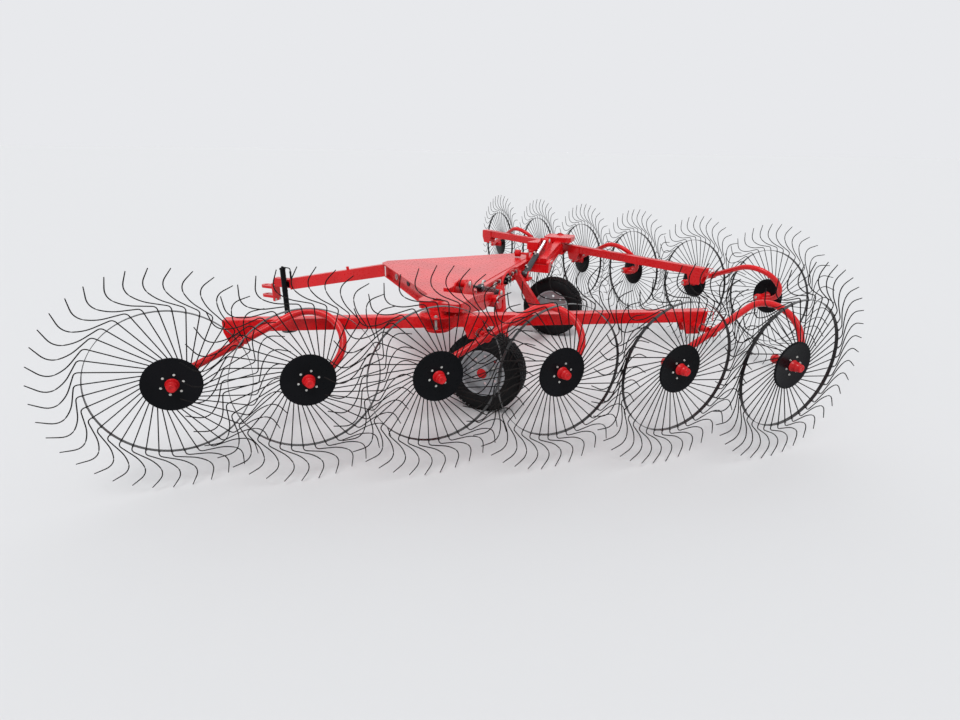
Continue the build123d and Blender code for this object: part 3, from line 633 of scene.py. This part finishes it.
barrel = Shape()
along_push = frame_at(ANCHOR, PUSH, FRONT)
cross_eye(barrel, ANCHOR, 0)
barrel.revolve([(0.0, 0.012), (BARREL_R - 0.003, 0.014), (BARREL_R, 0.020), (BARREL_R, BARREL_LONG - 0.034),
                (BARREL_R + 0.003, BARREL_LONG - 0.031), (BARREL_R + 0.003, BARREL_LONG - 0.004),
                (BARREL_R, BARREL_LONG), (ROD_R + 0.004, BARREL_LONG), (ROD_R + 0.002, BARREL_LONG + 0.004),
                (ROD_R + 0.0006, BARREL_LONG + 0.004), (ROD_R + 0.0006, BARREL_LONG - 0.02)],
               along_push, 40, 0)
barrel.weld_ring(along_push, BARREL_R, 0.030, 0.004, 0)
for place in (0.075, BARREL_LONG - 0.05):
    port = frame_at(ANCHOR + PUSH * place + NORMAL * (BARREL_R - 0.004), NORMAL, PUSH)
    barrel.revolve([(0.013, 0.0), (0.013, 0.012), (0.011, 0.013), (0.0, 0.013)], port, 20, 0)
    barrel.bolt(port @ Matrix.Translation((0, 0, 0.012)), 0.011, 0.010, 1)
    elbow = [port @ Vector((x, 0, z)) for x, z in ELBOW]
    barrel.tube(elbow, 0.0075, 14, 1)
    stub = frame_at(elbow[-1], -PUSH, FRONT)
    barrel.bolt(stub, 0.010, 0.009, 1, False)
    barrel.revolve([(0.009, 0.009), (0.009, 0.022), (0.0075, 0.025), (0.0, 0.025)], stub, 16, 2)
both("cylinder_barrel_%s_look", barrel, [BARREL, ZINC, BLACK], "barrel_%s", ["cylinder_barrel_%s"])

rod = Shape()
rod_inner = (ROD_BOX[0].y + ROD_R * abs(PUSH.z) - ANCHOR.y) / PUSH.y
rod.revolve([(0.0, rod_inner), (ROD_R, rod_inner), (ROD_R, STRETCH - 0.045), (0.0205, STRETCH - 0.043),
             (0.0205, STRETCH - 0.024), (0.014, STRETCH - 0.020)], along_push, 36, 0)
cross_eye(rod, EYE, 1)
rod.revolve([(0.0, 0.0), (0.0138, 0.0), (0.0138, 0.067), (0.0, 0.067)],
            frame_at(EYE - FRONT * 0.0335, FRONT), 24, 2)
rod.weld_ring(along_push, 0.020, STRETCH - 0.027, 0.003, 1)
both("cylinder_rod_%s_look", rod, [CHROME, RED, ZINC], "rod_%s", ["cylinder_rod_%s"])


def pin_end(shape, at, radius, mat, proud=0.010):
    """Washer, pin end and split pin, standing on +Z of the matrix at."""
    shape.revolve([(radius * 1.7, 0.0), (radius * 1.7, 0.003), (radius, 0.003), (radius, proud - 0.0015),
                   (radius - 0.0015, proud), (0.0, proud)], at, 28, mat)
    head, across = -radius * 1.35, proud * 0.6
    split = [(head, 0, across), (radius * 1.25, 0, across), (radius * 1.5, 0.004, proud * 0.75)]
    shape.tube([at @ Vector(p) for p in split], 0.0018, 8, mat)
    loop = [(head - 0.004 + 0.004 * math.cos(a), 0.004 * math.sin(a), across)
            for a in (2 * math.pi * k / 10 for k in range(11))]
    shape.tube([at @ Vector(p) for p in loop], 0.0016, 6, mat, False)


def nipple(shape, at, mat):
    """Grease nipple on +Z of the matrix at."""
    profile = [(0.006, 0.0), (0.006, 0.004), (0.0035, 0.005), (0.0028, 0.010), (0.0038, 0.012),
               (0.0030, 0.015), (0.0, 0.0155)]
    shape.revolve(profile, at, 12, mat)


# Wings: pins, nuts and welds
COVER_TOP = SWING.z + 0.1373
COVER_END = SWING.y + 0.041
BEAM_SLOPE = 0.165


def plate_top(y):
    return HINGE.z + 0.006 + (y - HINGE.y) * BEAM_SLOPE


fit = Shape()
for sign in (-1, 1):
    pin_end(fit, frame_at(EYE + FRONT * sign * (EAR_FAR + 0.0005), FRONT * sign, UP), PIN_R, 0)
    fit.revolve([(0.0, 0.0), (PIN_R, 0.0), (PIN_R, 0.0125), (0.0, 0.0125)],
                frame_at(EYE + FRONT * sign * 0.0365, FRONT * sign, UP), 24, 0)
top = Vector((SWING.x, SWING.y, COVER_TOP))
fit.revolve([(0.044, 0.0), (0.044, 0.005), (0.030, 0.006), (0.030, 0.010)], frame_at(top, UP), 36, 1)
fit.bolt(frame_at(top + UP * 0.009, UP), 0.018, 0.008, 1, False)
for place in (0.09, 0.18):
    nipple(fit, frame_at(HINGE + FRONT * (place - 0.135) + UP * 0.0315 - LEFT * 0.002, UP), 0)
for x in (0.045, 0.205):
    spot = Vector((WHEEL.x + x, COVER_END - 0.0005, COVER_TOP - 0.028))
    fit.bolt(frame_at(spot, LEFT, UP), 0.009, 0.007, 1, False)
for x in (0.1195, 0.1905):
    ends = [Vector((WHEEL.x + x, y, plate_top(y) + 0.002)) for y in (EYE.y - 0.130, EYE.y + 0.170)]
    fit.weld(*ends, 0.004, 1)
# Gusset that deepens the rear beam out to the arm's pivot: height over the hinge, and distance out from it
GUSSET = [(-0.019, 0.056), (-0.040, 0.205), (0.045, 0.655), (0.105, 0.655), (0.004, 0.056)]
fit.prism(GUSSET, frame_at(HINGE - FRONT * 0.1085, -FRONT, UP), -0.008, 0.0015, 1)
both("wing_fittings_%s", fit, [ZINC, RED], "wing_%s")

# Rake arms: end plates, hanger welds, spacer bolt
ARM_MID = HUBS[0] + INWARD * 0.466
ARM_Z = SWING.z
ARM_HALF = 0.040
ARM_ENDS = (0.190, 3.513)


def on_arm(along, inward, height):
    place = ARM_MID + ALONG * along + INWARD * inward
    return Vector((place.x, place.y, ARM_Z + height))


fit = Shape()
for along, facing in ((ARM_ENDS[0], -ALONG), (ARM_ENDS[1], ALONG)):
    fit.slab(frame_at(on_arm(along, 0, 0), facing, UP), 0.072, 0.072, -0.001, 0.004, 0, 0.0015)
    for a, b in (((-1, -1), (1, -1)), ((1, -1), (1, 1)), ((1, 1), (-1, 1)), ((-1, 1), (-1, -1))):
        fit.weld(on_arm(along, a[0] * 0.036, a[1] * 0.036) + facing * 0.001,
                 on_arm(along, b[0] * 0.036, b[1] * 0.036) + facing * 0.001, 0.003, 0)
HANGER_TOP = 0.036
for foot in FEET:
    along = (foot - ARM_MID).dot(ALONG)
    for sign in (-1, 1):
        fit.weld(on_arm(along - 0.082, sign * (ARM_HALF + 0.002), HANGER_TOP + 0.001),
                 on_arm(along + 0.082, sign * (ARM_HALF + 0.002), HANGER_TOP + 0.001), 0.0035, 0)
        for end in (-0.086, 0.086):
            fit.weld(on_arm(along + end, sign * (ARM_HALF + 0.002), HANGER_TOP - 0.004),
                     on_arm(along + end, sign * (ARM_HALF + 0.002), -ARM_HALF + 0.004), 0.0035, 0)
    pin = foot - OUT * (0.0915 / abs(OUT.dot(INWARD)))
    pin_end(fit, frame_at(pin + OUT * 0.0005, -OUT, UP), 0.020, 1, 0.012)
spacer = on_arm((SWING - ARM_MID).dot(ALONG) - 0.015, -0.090, 0)
fit.revolve([(0.0, -0.028), (0.0085, -0.028), (0.0085, 0.040), (0.0, 0.040)], frame_at(spacer, UP), 20, 2)
fit.bolt(frame_at(spacer + UP * 0.0505, UP), 0.011, 0.008, 1)
fit.bolt(frame_at(spacer - UP * 0.028, -UP), 0.011, 0.008, 1)
both("arm_fittings_%s", fit, [RED, ZINC, STRAP], "arm_%s")

# Transport wheels
TYRE_R = WHEEL.z
RIM_R = 0.190
# Side of the tyre from the rim to the middle of the tread: radius, and distance from the wheel's plane
WALL = [(RIM_R + 0.001, -0.072), (RIM_R + 0.012, -0.083), (RIM_R + 0.016, -0.086), (0.228, -0.0955),
        (0.231, -0.098), (0.236, -0.0985), (0.262, -0.1025), (0.266, -0.1015), (0.290, -0.0985),
        (0.308, -0.089), (0.320, -0.072), (0.3255, -0.045), (0.327, 0.0)]
TREAD_ROWS = (-0.066, -0.033, 0.0, 0.033, 0.066)
TREAD_COUNT = 56
TREAD_HALF = 0.0135
TREAD_FOOT_R = 0.322
# Shoulder lugs: two corners of the foot and of the face as radius and distance out, and half their angle
LUG_COUNT = 48
LUG_FOOT, LUG_FOOT_HALF = ((0.300, 0.0960), (0.3215, 0.0790)), 0.022
LUG_FACE, LUG_FACE_HALF = ((0.302, 0.0995), (0.3245, 0.0825)), 0.017
LUG_FACES = [(4, 5, 7, 6), (0, 1, 5, 4), (1, 3, 7, 5), (3, 2, 6, 7), (2, 0, 4, 6)]
wheel_at = frame_at(WHEEL, LEFT, FRONT)
tyre = Shape()
tyre.revolve(WALL + [(r, -z) for r, z in WALL[-2::-1]] + [WALL[0]], wheel_at, 120, 0)
for row, z in enumerate(TREAD_ROWS):
    crown = TYRE_R - (abs(z) / 0.1) ** 2 * 0.009
    lean = 0.014 * (1 if row % 2 else -1)
    for k in range(TREAD_COUNT):
        a0 = 2 * math.pi * (k + 0.5 * (row % 2)) / TREAD_COUNT
        a1 = a0 + 2 * math.pi / TREAD_COUNT * 0.80
        corners = []
        for r, inset in ((TREAD_FOOT_R, 0.0), (crown - 0.0012, 0.0), (crown, 0.0014)):
            near, far = z - TREAD_HALF + inset, z + TREAD_HALF - inset
            turn = inset * 3
            for a, out in ((a0 + turn, near), (a1 - turn, near),
                           (a1 + lean - turn, far), (a0 + lean + turn, far)):
                corners.append(wheel_at @ Vector((r * math.cos(a), r * math.sin(a), out)))
        tyre.add(corners, [(8, 9, 10, 11)] + ring_faces(0, 4) + ring_faces(4, 4), 0, False)


def lug_corners(a, side, profile, half):
    return [wheel_at @ Vector((r * math.cos(a + da), r * math.sin(a + da), side * z))
            for r, z in profile for da in (-half, half)]


for k in range(LUG_COUNT):
    a = 2 * math.pi * k / LUG_COUNT
    for side in (-1, 1):
        foot_corners = lug_corners(a, side, LUG_FOOT, LUG_FOOT_HALF)
        face_corners = lug_corners(a, side, LUG_FACE, LUG_FACE_HALF)
        tyre.add(foot_corners + face_corners, LUG_FACES, 0, False)
both("tyre_%s_look", tyre, [RUBBER], "cart_wheel_%s", ["tyre_%s"])

WHEEL_NUT_CIRCLE = 0.082
fit = Shape()
for k in range(6):
    a = math.radians(60 * k + 20)
    spot = (WHEEL_NUT_CIRCLE * math.cos(a), WHEEL_NUT_CIRCLE * math.sin(a), 0.0078)
    fit.bolt(wheel_at @ Matrix.Translation(spot), 0.0095, 0.010, 0)
fit.revolve([(0.042, 0.0805), (0.040, 0.0835), (0.012, 0.0860), (0.0, 0.0862)], wheel_at, 36, 1)
valve = [wheel_at @ Vector(p) for p in ((0.158, 0.0, 0.030), (0.150, 0.0, 0.044), (0.148, 0.0, 0.062))]
fit.tube(valve, [0.005, 0.0045, 0.004], 12, 2)
for side in (-1, 1):
    lip = [(RIM_R - 0.012, side * 0.0752), (RIM_R - 0.006, side * 0.0790), (RIM_R + 0.004, side * 0.0800),
           (RIM_R + 0.007, side * 0.0765), (RIM_R + 0.002, side * 0.0740)]
    fit.revolve(lip[::side], wheel_at, 72, 3)
both("wheel_fittings_%s", fit, [ZINC, CAP_RED, BLACK, SILVER], "cart_wheel_%s")

# Cart: pin ends, axle collar, tie ring, grommet, pale strip and welds
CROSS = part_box("cross_beam")
LEG_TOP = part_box("wheel_leg_left")[1].z
fit = Shape()
for sign in (-1, 1):
    ear = ANCHOR + FRONT * sign * EAR_FAR
    pin_end(fit, frame_at(ear, FRONT * sign, UP), PIN_R, 1)
# Washer and split pin at both ends of the hinge pin
for facing, x in ((-FRONT, CROSS[0].x), (FRONT, WHEEL.x + 0.286)):
    at = frame_at(Vector((x, HINGE.y, HINGE.z)) - facing * 0.0145, facing, UP)
    fit.revolve([(0.030, 0.0), (0.030, 0.0035), (0.0182, 0.0035)], at, 32, 1)
    split = [at @ Vector(p) for p in ((-0.026, 0, 0.009), (0.024, 0, 0.009), (0.029, 0.004, 0.010))]
    fit.tube(split, 0.0022, 8, 1)
# Weld and collar round the axle, and welds down from the top of the wheel leg
axle_at = frame_at(Vector((WHEEL.x, 0.655, WHEEL.z)), LEFT, FRONT)
fit.weld_ring(axle_at, 0.054, 0.0, 0.005, 0)
fit.revolve([(0.056, 0.316), (0.066, 0.318), (0.066, 0.330), (0.058, 0.334)], axle_at, 36, 0)
for y in (-0.028, 0.028):
    root = Vector((WHEEL.x + 0.185, 0.255, LEG_TOP))
    fit.weld(root + Vector((0.0345, y, 0)), root + Vector((0.0345, y, -0.060)), 0.004, 0)
# Tie ring, grommet and pale strip on the side channel, whose web stands back from its flanges
apex, corner = Vector((WHEEL.x + 1.56, 0.06, 0)), Vector((WHEEL.x + 0.37, 1.19, 0))
run = (corner - apex).normalized()
open_side = Vector((run.y, -run.x, 0))
WEB_BACK = -0.043


def on_web(along, height, proud=WEB_BACK):
    place = apex + run * along + open_side * proud
    return Vector((place.x, place.y, height))


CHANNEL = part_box("side_channel_left")
MID_Z = (CHANNEL[0].z + CHANNEL[1].z) / 2
ring_at = frame_at(on_web(0.42, MID_Z + 0.004, WEB_BACK + 0.012), open_side, UP)
TIE_RING_R = 0.026
tie_ring = [ring_at @ Vector((TIE_RING_R * math.cos(a), TIE_RING_R * math.sin(a), 0))
            for a in (math.pi * k / 16 for k in range(33))]
fit.tube(tie_ring, 0.006, 12, 2, False)
fit.slab(frame_at(on_web(0.42, MID_Z + 0.032), open_side, UP), 0.022, 0.040, -0.001, 0.016, 0, 0.003)
oval = [(0.024 * math.cos(a), 0.036 * math.sin(a)) for a in (math.pi * k / 12 for k in range(24))]
oval_at = frame_at(on_web(0.76, MID_Z + 0.010), open_side, UP)
fit.prism(oval, oval_at, -0.001, 0.003, 3)
fit.tube([oval_at @ Vector((*p, 0.003)) for p in oval + oval[:1]], 0.0035, 8, 3, False)
strip = frame_at(on_web(0.110, MID_Z, -0.004), open_side, UP)
fit.slab(strip, 0.118, 0.045, -0.003, 0.0, 0, 0.001)
fit.slab(strip, 0.104, 0.036, -0.001, 0.0012, 4, 0.0006)
for place in (0.30, 0.95, 1.45):
    for sign in (-1, 1):
        seam = [on_web(along, MID_Z + sign * 0.0545, -0.038) for along in (place, place + 0.07)]
        fit.weld(*seam, 0.0035, 0)
# Weld near the end of the cross beam, just above its underside
seam_y, seam_z = 0.767, CROSS[0].z + 0.005
fit.weld((WHEEL.x - 0.010, seam_y, seam_z), (WHEEL.x + 0.218, seam_y, seam_z), 0.004, 0)
both("cart_fittings_%s", fit, [RED, ZINC, STRAP, BLACK, STRIP], "cart")

# Arch pipe over the middle of the cross beam, and the valve block with a pipe to each side
ARCH_X, ARCH_HALF, ARCH_RISE, ARCH_R = WHEEL.x + 0.165, 0.248, 0.105, 0.011
VALVE_Z, PIPE_Z = 0.842, 0.866
# One pipe: distance from the beam's face, distance out from the middle, and height
PIPE_RUN = [(0.023, 0.054, VALVE_Z), (0.023, 0.085, VALVE_Z), (0.023, 0.105, 0.848), (0.020, 0.125, 0.862),
            (0.016, 0.150, PIPE_Z), (0.013, 0.205, PIPE_Z), (0.013, 0.290, PIPE_Z), (0.013, 0.360, PIPE_Z)]
pipe = Shape()
arch = []
for k in range(33):
    a = math.pi * k / 32
    y = ARCH_HALF * math.cos(a) * (1 - 0.12 * math.sin(a) ** 4)
    arch.append(Vector((ARCH_X, y, LEG_TOP + ARCH_RISE * math.sin(a) ** 0.8)))
pipe.tube([arch[0] - UP * 0.006] + arch + [arch[-1] - UP * 0.006], ARCH_R, 16, 0)
for end in (arch[0], arch[-1]):
    pipe.weld_ring(frame_at(end, UP), ARCH_R, 0.001, 0.004, 0)
beam_face = WHEEL.x + 0.220
valve = frame_at((beam_face, 0.0, VALVE_Z), -FRONT, UP)
pipe.slab(valve, 0.062, 0.110, -0.001, 0.046, 1, 0.003)
for y in (-0.038, 0.038):
    for z in (-0.018, 0.018):
        pipe.bolt(valve @ Matrix.Translation((z, y, 0.046)), 0.0065, 0.006, 2)
for y in (-0.018, 0.018):
    port = valve @ Matrix.Translation((0.031, y, 0.022)) @ Matrix.Rotation(math.pi / 2, 4, "Y")
    pipe.bolt(port, 0.010, 0.010, 2)
    pipe.revolve([(0.0085, 0.011), (0.0085, 0.026), (0.007, 0.029), (0.0, 0.029)], port, 16, 1)
for sign in (-1, 1):
    line = [Vector((beam_face - off, sign * y, z)) for off, y, z in PIPE_RUN]
    pipe.tube(line, 0.0065, 12, 1)
    for end in (line[0], line[-1]):
        pipe.bolt(frame_at(end, LEFT * sign, UP), 0.0095, 0.012, 2, False)
    for y in (0.19, 0.30):
        pipe.slab(frame_at((beam_face, sign * y, PIPE_Z), -FRONT, UP), 0.034, 0.018, -0.001, 0.0215, 2, 0.002)
make("cart_pipes", pipe, [RED, BLACK, ZINC], "cart")

# Drawbar, hitch and jack
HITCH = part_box("hitch_clevis")
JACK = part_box("jack_tube")
BAR_FRONT = WHEEL.x + 2.800
BAR_LOW = 0.613
BAR_FALL = 0.217355
TAB_X = WHEEL.x + 2.02
HITCH_MID = 0.430
HITCH_PIN_X = WHEEL.x + 3.190
fit = Shape()
tab = frame_at((TAB_X, 0.012, BAR_LOW + (BAR_FRONT - TAB_X) * BAR_FALL), (BAR_FALL, 0, 1), FRONT)
fit.slab(tab, 0.034, 0.007, -0.002, 0.034, 0, 0.0015)
tab_side = tab @ Matrix.Translation((0, 0.0035, 0.022)) @ Matrix.Rotation(-math.pi / 2, 4, "X")
fit.revolve([(0.0, 0.0), (0.010, 0.0), (0.010, 0.010), (0.0, 0.010)], tab_side, 20, 0)
neck_top, neck_low = BAR_LOW - 0.0135, BAR_LOW - 0.1135
for y in (-0.040, 0.040):
    fit.weld((BAR_FRONT + 0.001, y, neck_low), (BAR_FRONT + 0.001, y, neck_top), 0.004, 0)
fit.weld((BAR_FRONT + 0.001, -0.040, neck_top), (BAR_FRONT + 0.001, 0.040, neck_top), 0.004, 0)
plate_x = HITCH[0].x
for y in (-0.036, 0.036):
    for z in (HITCH[0].z + 0.017, HITCH[1].z - 0.017):
        fit.bolt(frame_at((plate_x + 0.025, y, z), FRONT, UP), 0.0105, 0.009, 1)
        fit.bolt(frame_at((plate_x, y, z), -FRONT, UP), 0.0105, 0.008, 1)
for rise in (-0.070, -0.040, 0.040, 0.070):
    z = HITCH_MID + rise
    fit.weld((plate_x + 0.0265, -0.050, z), (plate_x + 0.0265, 0.050, z), 0.004, 0)
for rise in (0.070, -0.040):
    fit.weld_ring(frame_at((HITCH_PIN_X, 0, HITCH_MID + rise - 0.0015), UP), 0.018, 0.0, 0.0025, 0)
make("drawbar_fittings", fit, [RED, ZINC], "cart")

jack = Shape()
jack_x, jack_y = (JACK[0].x + JACK[1].x) / 2, JACK[1].y - 0.035
cap = Vector((jack_x, jack_y, JACK[1].z))
cap_profile = [(0.034, -0.002), (0.033, 0.004), (0.016, 0.009), (0.012, 0.016), (0.012, 0.022), (0.0, 0.023)]
jack.revolve(cap_profile, frame_at(cap, UP), 32, 0)
CRANK = ((0, 0.0, 0.014), (-0.030, 0.006, 0.016), (-0.105, 0.020, 0.016), (-0.120, 0.023, 0.013),
         (-0.126, 0.024, 0.0), (-0.126, 0.024, -0.02))
crank = [cap + Vector(p) for p in CRANK]
jack.tube(crank, 0.006, 12, 0)
grip_profile = [(0.0, 0.0), (0.012, 0.001), (0.0125, 0.012), (0.010, 0.04), (0.0125, 0.072), (0.011, 0.082),
                (0.0, 0.084)]
jack.revolve(grip_profile, frame_at(crank[-1] + UP * 0.002, -UP, FRONT), 24, 0)
BRACKET_Y = 0.0504
mid_z = neck_low + 0.050
for z in (-0.018, 0.018):
    jack.bolt(frame_at((jack_x + 0.030, BRACKET_Y, mid_z + z), FRONT, UP), 0.008, 0.006, 1)
band = [(0.0295, -0.006), (0.0325, -0.004), (0.0325, 0.004), (0.0295, 0.006)]
for z in (JACK[0].z + 0.012, mid_z - 0.07, mid_z + 0.07):
    jack.revolve(band, frame_at((jack_x, jack_y, z), UP), 32, 0)
PULL_RING_R = 0.016
pin = frame_at((jack_x, jack_y + 0.028, JACK[0].z + 0.04), LEFT, UP)
jack.revolve([(0.0, 0.0), (0.006, 0.0), (0.006, 0.016), (0.0, 0.018)], pin, 16, 1)
pull_ring = [pin @ Vector((PULL_RING_R * math.cos(a) - PULL_RING_R, PULL_RING_R * math.sin(a), 0.012))
             for a in (math.pi * k / 12 for k in range(25))]
jack.tube(pull_ring, 0.0018, 6, 1, False)
make("jack_fittings", jack, [BLACK, ZINC], "cart")

# Stage, light and camera
PALE = (0.68, 0.68, 0.68)
floor = bpy.data.meshes.new("floor")
floor.from_pydata([(-400, -400, 0), (400, -400, 0), (400, 400, 0), (-400, 400, 0)], [], [(0, 1, 2, 3)])
ground = bpy.data.objects.new("floor", floor)
bpy.context.scene.collection.objects.link(ground)
floor_mat, tree, shader = material("floor_pale")
shader.inputs["Base Color"].default_value = (*PALE, 1)
shader.inputs["Roughness"].default_value = 0.9
shader.inputs["Specular IOR Level"].default_value = 0.1
floor.materials.append(floor_mat)

world = bpy.data.worlds.new("studio")
bpy.context.scene.world = world
world.use_nodes = True
tree = world.node_tree
light = tree.nodes["Background"]
light.inputs[0].default_value = (0.94, 0.96, 1.0, 1)
light.inputs[1].default_value = 0.75
seen = tree.nodes.new("ShaderNodeBackground")
seen.inputs[0].default_value = (0.807, 0.815, 0.839, 1)
path = tree.nodes.new("ShaderNodeLightPath")
seen_rays = calc(tree, "MAXIMUM", path.outputs["Is Camera Ray"], path.outputs["Is Glossy Ray"])
seen_rays = calc(tree, "MAXIMUM", seen_rays, path.outputs["Is Transmission Ray"])
blend = tree.nodes.new("ShaderNodeMixShader")
tree.links.new(seen_rays, blend.inputs[0])
tree.links.new(light.outputs[0], blend.inputs[1])
tree.links.new(seen.outputs[0], blend.inputs[2])
tree.links.new(blend.outputs[0], tree.nodes["World Output"].inputs[0])

for name, energy, angle, turn in (("key", 1.5, 25, (-28, -14, 0)), ("fill", 0.3, 60, (50, 0, 20))):
    lamp = bpy.data.lights.new(name, "SUN")
    lamp.energy = energy
    lamp.angle = math.radians(angle)
    obj = bpy.data.objects.new(name, lamp)
    obj.rotation_euler = [math.radians(a) for a in turn]
    bpy.context.scene.collection.objects.link(obj)

FOCAL, PHOTO_WIDE, SENSOR = 548.92, 960, 36
YAW, PITCH_DOWN, ROLL = 0.3756, 0.3687, 0.0137
CAMERA_FROM_AXLE = (-1.487, 4.968, 2.031)
cam = bpy.data.cameras.new("camera")
cam.sensor_width = SENSOR
cam.lens = FOCAL / PHOTO_WIDE * SENSOR
cam.clip_start = 0.1
cam.clip_end = 1000
view = bpy.data.objects.new("camera", cam)
bpy.context.scene.collection.objects.link(view)
forward = math.cos(PITCH_DOWN)
ahead = Vector((math.sin(YAW) * forward, -math.cos(YAW) * forward, -math.sin(PITCH_DOWN)))
right = ahead.cross(UP).normalized()
above = right.cross(ahead)
level, upright = math.cos(ROLL), math.sin(ROLL)
across, upward = right * level + above * upright, above * level - right * upright
matrix = Matrix((across, upward, -ahead)).transposed().to_4x4()
matrix.translation = Vector((WHEEL.x + CAMERA_FROM_AXLE[0], CAMERA_FROM_AXLE[1], CAMERA_FROM_AXLE[2]))
view.matrix_world = matrix
bpy.context.scene.camera = view
bpy.context.scene.view_settings.view_transform = "Standard"
